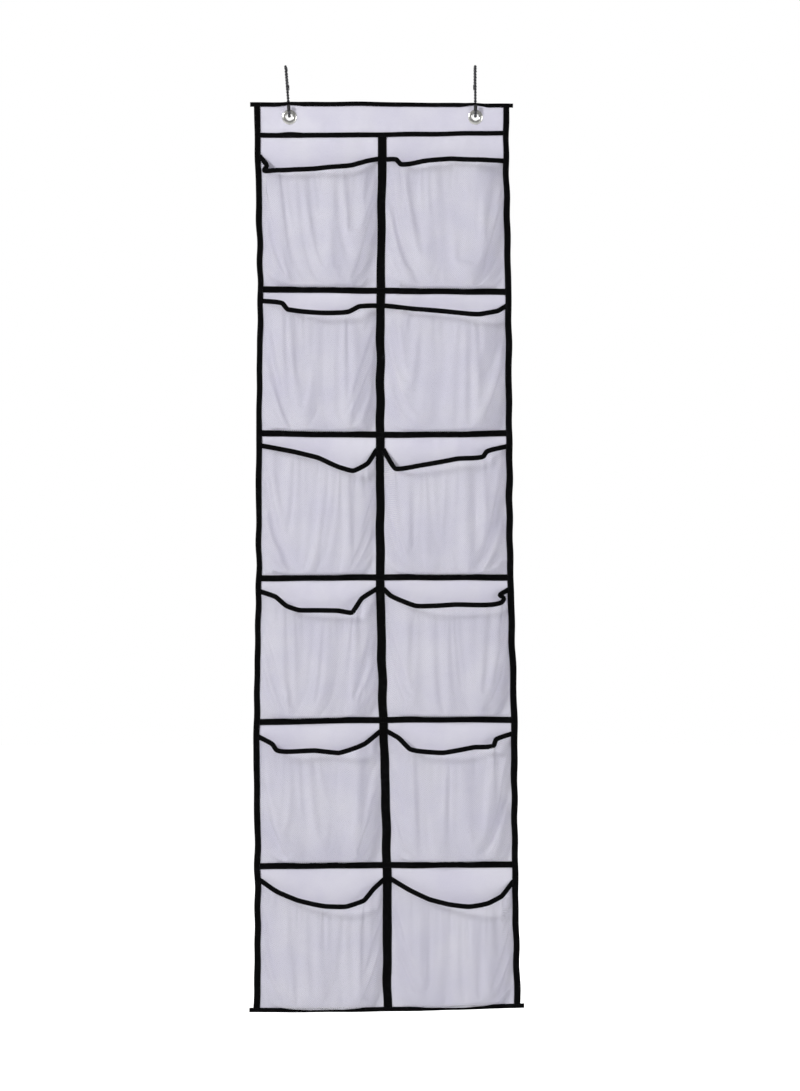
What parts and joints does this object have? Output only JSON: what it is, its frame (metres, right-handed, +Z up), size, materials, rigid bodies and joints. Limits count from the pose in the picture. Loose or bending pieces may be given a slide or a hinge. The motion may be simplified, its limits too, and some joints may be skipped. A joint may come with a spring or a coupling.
{
  "type": "shoe organizer",
  "caption": "Hanging over-the-door shoe organizer: white fabric panel with two columns of net pockets, black bound edges, metal eyelets and wire door hooks.",
  "frame": {"origin": "on the door: midway between the two hooks, on the door's front face, at its top edge", "axes": "+Z up, the organizer's front faces -Y, +X to the right seen from the front"},
  "size_m": [0.4264, 0.0929, 1.514],
  "materials": {
    "backing_fabric": "matte white non-woven with a lavender tint",
    "pocket_net": "fine see-through net",
    "black_tape": "matte woven tape",
    "eyelet_metal": "polished",
    "hook_wire": "dark coated steel"
  },
  "bodies": {
    "door_hooks": {"hook_left": "hook_wire", "hook_right": "hook_wire"},
    "header": {"back_header": "backing_fabric", "side_bindings_header": "black_tape", "top_binding": "black_tape", "header_tape": "black_tape", "eyelet_left": "eyelet_metal", "eyelet_right": "eyelet_metal", "washer_left": "eyelet_metal", "washer_right": "eyelet_metal"},
    "row_1": {"back_row_1": "backing_fabric", "side_bindings_row_1": "black_tape", "centre_tape_row_1": "black_tape", "row_tape_1": "black_tape"},
    "pocket_1_left": {"pocket_mesh_1_left": "pocket_net", "pocket_hem_1_left": "black_tape"},
    "pocket_1_right": {"pocket_mesh_1_right": "pocket_net", "pocket_hem_1_right": "black_tape"},
    "row_2": {"back_row_2": "backing_fabric", "side_bindings_row_2": "black_tape", "centre_tape_row_2": "black_tape", "row_tape_2": "black_tape"},
    "pocket_2_left": {"pocket_mesh_2_left": "pocket_net", "pocket_hem_2_left": "black_tape"},
    "pocket_2_right": {"pocket_mesh_2_right": "pocket_net", "pocket_hem_2_right": "black_tape"},
    "row_3": {"back_row_3": "backing_fabric", "side_bindings_row_3": "black_tape", "centre_tape_row_3": "black_tape", "row_tape_3": "black_tape"},
    "pocket_3_left": {"pocket_mesh_3_left": "pocket_net", "pocket_hem_3_left": "black_tape"},
    "pocket_3_right": {"pocket_mesh_3_right": "pocket_net", "pocket_hem_3_right": "black_tape"},
    "row_4": {"back_row_4": "backing_fabric", "side_bindings_row_4": "black_tape", "centre_tape_row_4": "black_tape", "row_tape_4": "black_tape"},
    "pocket_4_left": {"pocket_mesh_4_left": "pocket_net", "pocket_hem_4_left": "black_tape"},
    "pocket_4_right": {"pocket_mesh_4_right": "pocket_net", "pocket_hem_4_right": "black_tape"},
    "row_5": {"back_row_5": "backing_fabric", "side_bindings_row_5": "black_tape", "centre_tape_row_5": "black_tape", "row_tape_5": "black_tape"},
    "pocket_5_left": {"pocket_mesh_5_left": "pocket_net", "pocket_hem_5_left": "black_tape"},
    "pocket_5_right": {"pocket_mesh_5_right": "pocket_net", "pocket_hem_5_right": "black_tape"},
    "row_6": {"back_row_6": "backing_fabric", "side_bindings_row_6": "black_tape", "centre_tape_row_6": "black_tape", "bottom_binding": "black_tape"},
    "pocket_6_left": {"pocket_mesh_6_left": "pocket_net", "pocket_hem_6_left": "black_tape"},
    "pocket_6_right": {"pocket_mesh_6_right": "pocket_net", "pocket_hem_6_right": "black_tape"}
  },
  "joints": [
    {"name": "panel_swing", "type": "hinge", "parent": "door_hooks", "child": "header", "pos_m": [0, -0.011, -0.0785], "axis": [-1, 0, 0], "range_deg": [0, 10]},
    {"name": "header_fold", "type": "hinge", "parent": "header", "child": "row_1", "pos_m": [0, -0.011, -0.111], "axis": [-1, 0, 0], "range_deg": [-45, 45]},
    {"name": "pocket_1_left_mouth", "type": "hinge", "parent": "row_1", "child": "pocket_1_left", "pos_m": [0, -0.0121, -0.3505], "axis": [1, 0, 0], "range_deg": [0, 15], "stiffness_Nm_per_rad": 0.3},
    {"name": "pocket_1_right_mouth", "type": "hinge", "parent": "row_1", "child": "pocket_1_right", "pos_m": [0, -0.0121, -0.3505], "axis": [1, 0, 0], "range_deg": [0, 15], "stiffness_Nm_per_rad": 0.3},
    {"name": "row_1_fold", "type": "hinge", "parent": "row_1", "child": "row_2", "pos_m": [0, -0.011, -0.362], "axis": [-1, 0, 0], "range_deg": [-45, 45]},
    {"name": "pocket_2_left_mouth", "type": "hinge", "parent": "row_2", "child": "pocket_2_left", "pos_m": [0, -0.0121, -0.5803], "axis": [1, 0, 0], "range_deg": [0, 15], "stiffness_Nm_per_rad": 0.3},
    {"name": "pocket_2_right_mouth", "type": "hinge", "parent": "row_2", "child": "pocket_2_right", "pos_m": [0, -0.0121, -0.5803], "axis": [1, 0, 0], "range_deg": [0, 15], "stiffness_Nm_per_rad": 0.3},
    {"name": "row_2_fold", "type": "hinge", "parent": "row_2", "child": "row_3", "pos_m": [0, -0.011, -0.5918], "axis": [-1, 0, 0], "range_deg": [-45, 45]},
    {"name": "pocket_3_left_mouth", "type": "hinge", "parent": "row_3", "child": "pocket_3_left", "pos_m": [0, -0.0121, -0.8101], "axis": [1, 0, 0], "range_deg": [0, 15], "stiffness_Nm_per_rad": 0.3},
    {"name": "pocket_3_right_mouth", "type": "hinge", "parent": "row_3", "child": "pocket_3_right", "pos_m": [0, -0.0121, -0.8101], "axis": [1, 0, 0], "range_deg": [0, 15], "stiffness_Nm_per_rad": 0.3},
    {"name": "row_3_fold", "type": "hinge", "parent": "row_3", "child": "row_4", "pos_m": [0, -0.011, -0.8216], "axis": [-1, 0, 0], "range_deg": [-45, 45]},
    {"name": "pocket_4_left_mouth", "type": "hinge", "parent": "row_4", "child": "pocket_4_left", "pos_m": [0, -0.0121, -1.0399], "axis": [1, 0, 0], "range_deg": [0, 15], "stiffness_Nm_per_rad": 0.3},
    {"name": "pocket_4_right_mouth", "type": "hinge", "parent": "row_4", "child": "pocket_4_right", "pos_m": [0, -0.0121, -1.0399], "axis": [1, 0, 0], "range_deg": [0, 15], "stiffness_Nm_per_rad": 0.3},
    {"name": "row_4_fold", "type": "hinge", "parent": "row_4", "child": "row_5", "pos_m": [0, -0.011, -1.0514], "axis": [-1, 0, 0], "range_deg": [-45, 45]},
    {"name": "pocket_5_left_mouth", "type": "hinge", "parent": "row_5", "child": "pocket_5_left", "pos_m": [0, -0.0121, -1.2697], "axis": [1, 0, 0], "range_deg": [0, 15], "stiffness_Nm_per_rad": 0.3},
    {"name": "pocket_5_right_mouth", "type": "hinge", "parent": "row_5", "child": "pocket_5_right", "pos_m": [0, -0.0121, -1.2697], "axis": [1, 0, 0], "range_deg": [0, 15], "stiffness_Nm_per_rad": 0.3},
    {"name": "row_5_fold", "type": "hinge", "parent": "row_5", "child": "row_6", "pos_m": [0, -0.011, -1.2812], "axis": [-1, 0, 0], "range_deg": [-45, 45]},
    {"name": "pocket_6_left_mouth", "type": "hinge", "parent": "row_6", "child": "pocket_6_left", "pos_m": [0, -0.0121, -1.5015], "axis": [1, 0, 0], "range_deg": [0, 15], "stiffness_Nm_per_rad": 0.3},
    {"name": "pocket_6_right_mouth", "type": "hinge", "parent": "row_6", "child": "pocket_6_right", "pos_m": [0, -0.0121, -1.5015], "axis": [1, 0, 0], "range_deg": [0, 15], "stiffness_Nm_per_rad": 0.3}
  ]
}
